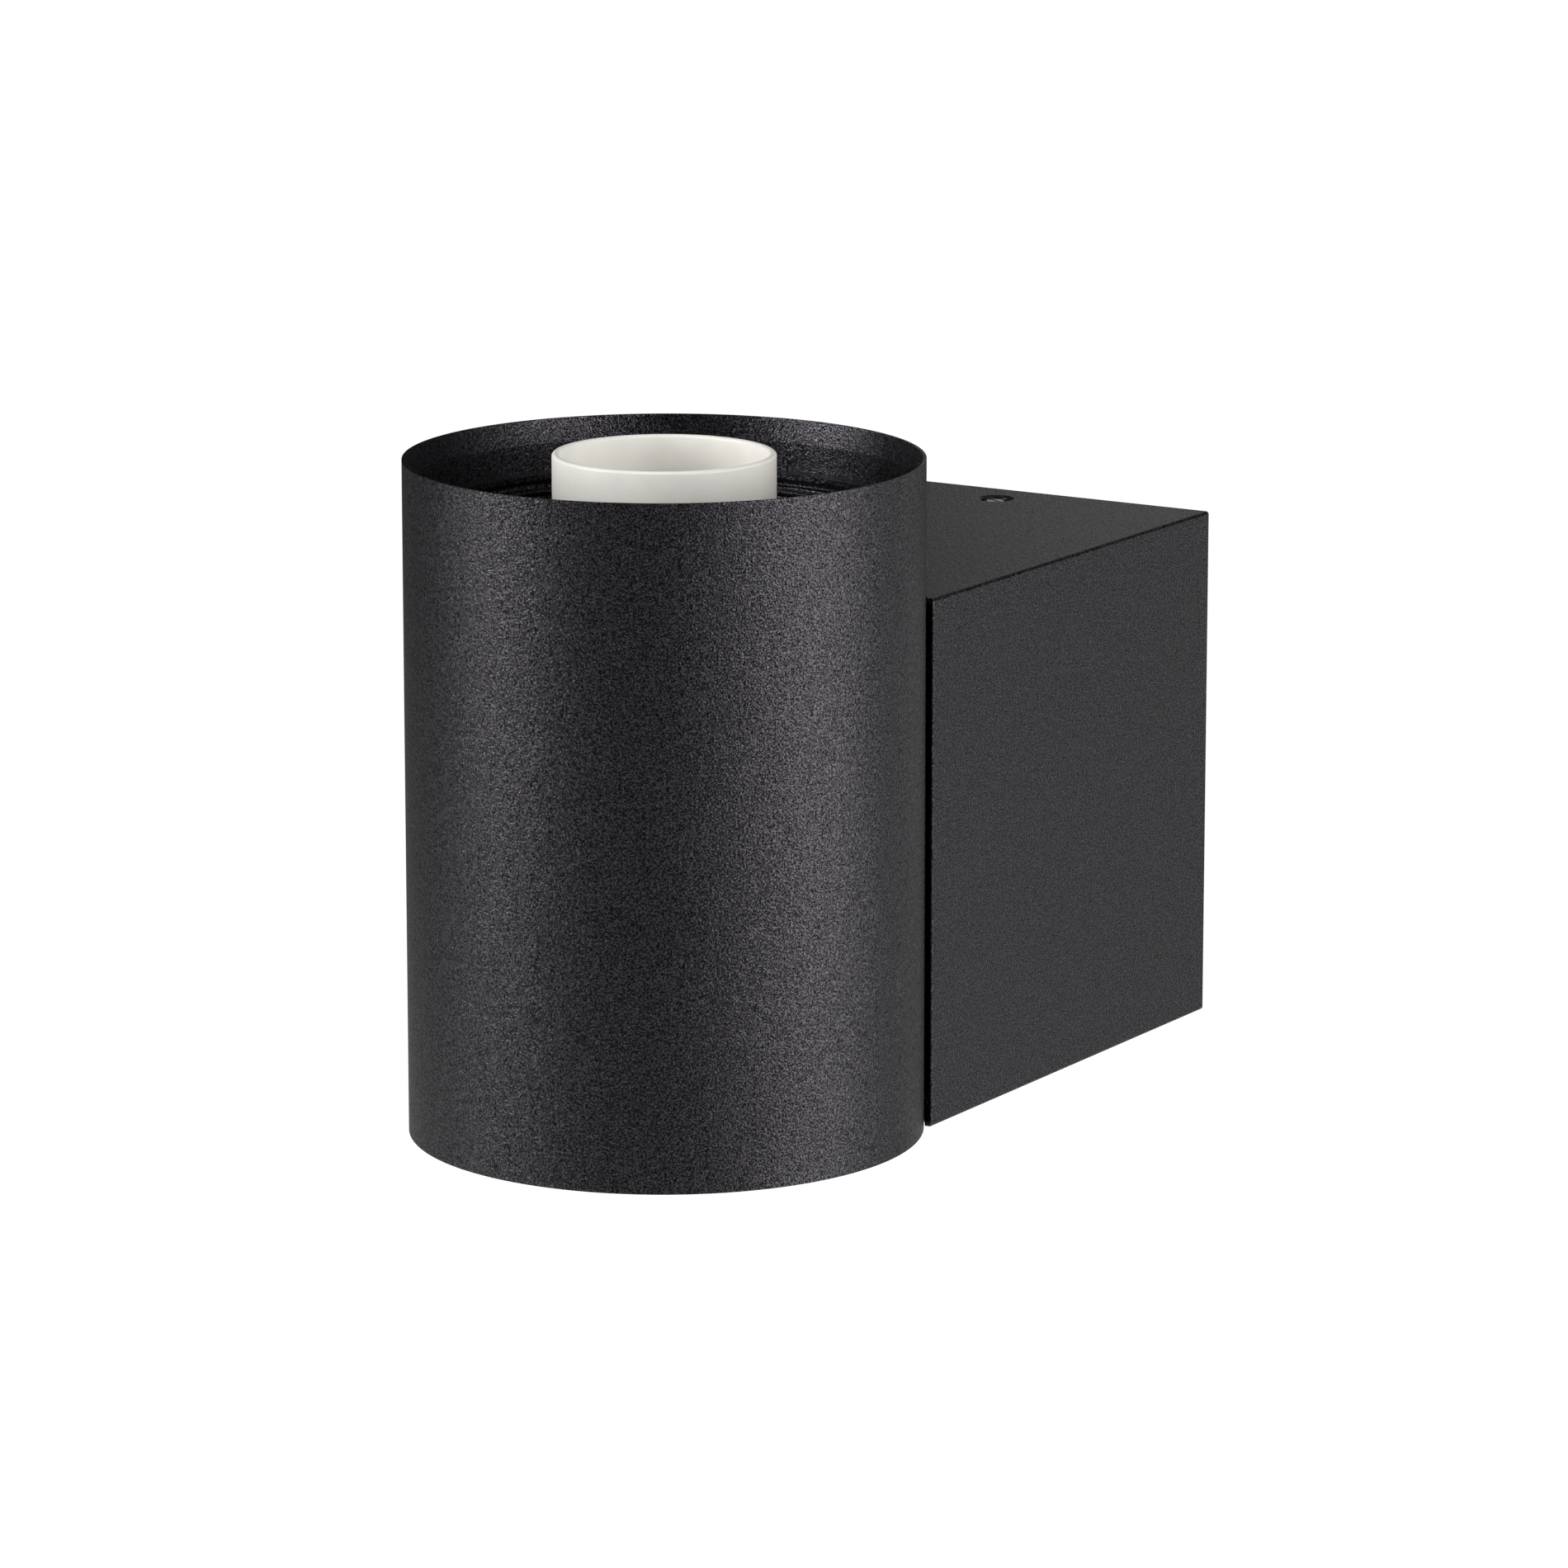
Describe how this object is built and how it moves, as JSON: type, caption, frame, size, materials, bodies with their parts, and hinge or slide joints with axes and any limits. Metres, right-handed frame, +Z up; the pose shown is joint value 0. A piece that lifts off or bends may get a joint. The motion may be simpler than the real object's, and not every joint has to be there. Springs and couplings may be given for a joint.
{
  "type": "tube wall light",
  "caption": "Wall light: an upright black tube, open at the top round a white lampholder, on a box arm that clamps to a plate on the wall.",
  "frame": {"origin": "centre of the wall plate's back face, on the wall plane, at the middle of the arm's height and width", "axes": "+Z up along the tube, +Y into the wall, +X to the right when facing the wall"},
  "size_m": [0.09, 0.167, 0.1193],
  "materials": {
    "black_coat": "matte",
    "foam": "matte",
    "black_rubber": "matte",
    "zinc_steel": "satin",
    "stainless": "satin",
    "white_plastic": "satin",
    "milky_plastic": "satin",
    "white_ceramic": "matte",
    "nickel": "satin",
    "brass": "satin",
    "spring_steel": "satin",
    "tinned_copper": "satin",
    "brown_insulation": "satin",
    "blue_insulation": "satin",
    "green_insulation": "satin",
    "clear_plastic": "satin"
  },
  "bodies": {
    "wall_fixing": {"wall_plate": "zinc_steel", "cable_grommet": "black_rubber"},
    "light": {"tube_body": "black_coat", "bottom_cap": "black_coat", "arm_housing": "black_coat", "back_seal": "foam", "saddle_gasket": "black_rubber", "tube_screws": "zinc_steel", "tube_washers": "zinc_steel", "wire_grommet": "black_rubber", "holder_support": "zinc_steel", "support_screws": "zinc_steel", "holder_screws": "zinc_steel", "lampholder_base": "white_plastic", "lampholder_sleeve": "milky_plastic", "insulator_core": "white_ceramic", "screw_shell": "nickel", "contact_spring": "spring_steel", "centre_terminal": "brass", "shell_terminal": "brass", "holder_terminal_screws": "zinc_steel", "live_wire": "brown_insulation", "neutral_wire": "blue_insulation", "earth_wire": "green_insulation", "terminal_block": "clear_plastic", "terminal_inserts": "brass", "terminal_screws": "zinc_steel", "block_screws": "zinc_steel", "earth_tag": "tinned_copper", "earth_screw": "zinc_steel"},
    "top_screw": {"top_clamp_screw": "stainless"},
    "bottom_screw": {"bottom_clamp_screw": "stainless"},
    "contact": {"centre_contact": "brass"}
  },
  "joints": [
    {"name": "lift_off", "type": "slide", "parent": "wall_fixing", "child": "light", "axis": [0, -1, 0], "range_m": [0, 0.06]},
    {"name": "top_screw_turn", "type": "hinge", "parent": "light", "child": "top_screw", "pos_m": [0, -0.009, 0.0426], "axis": [0, 0, 1], "range_deg": [0, 810]},
    {"name": "bottom_screw_turn", "type": "hinge", "parent": "light", "child": "bottom_screw", "pos_m": [0, -0.009, -0.0426], "axis": [0, 0, -1], "range_deg": [0, 810]},
    {"name": "contact_press", "type": "slide", "parent": "light", "child": "contact", "axis": [0, 0, -1], "range_m": [0, 0.0015], "stiffness_N_per_m": 2500, "springref_m": -0.001, "deforming": ["contact_spring"]}
  ]
}
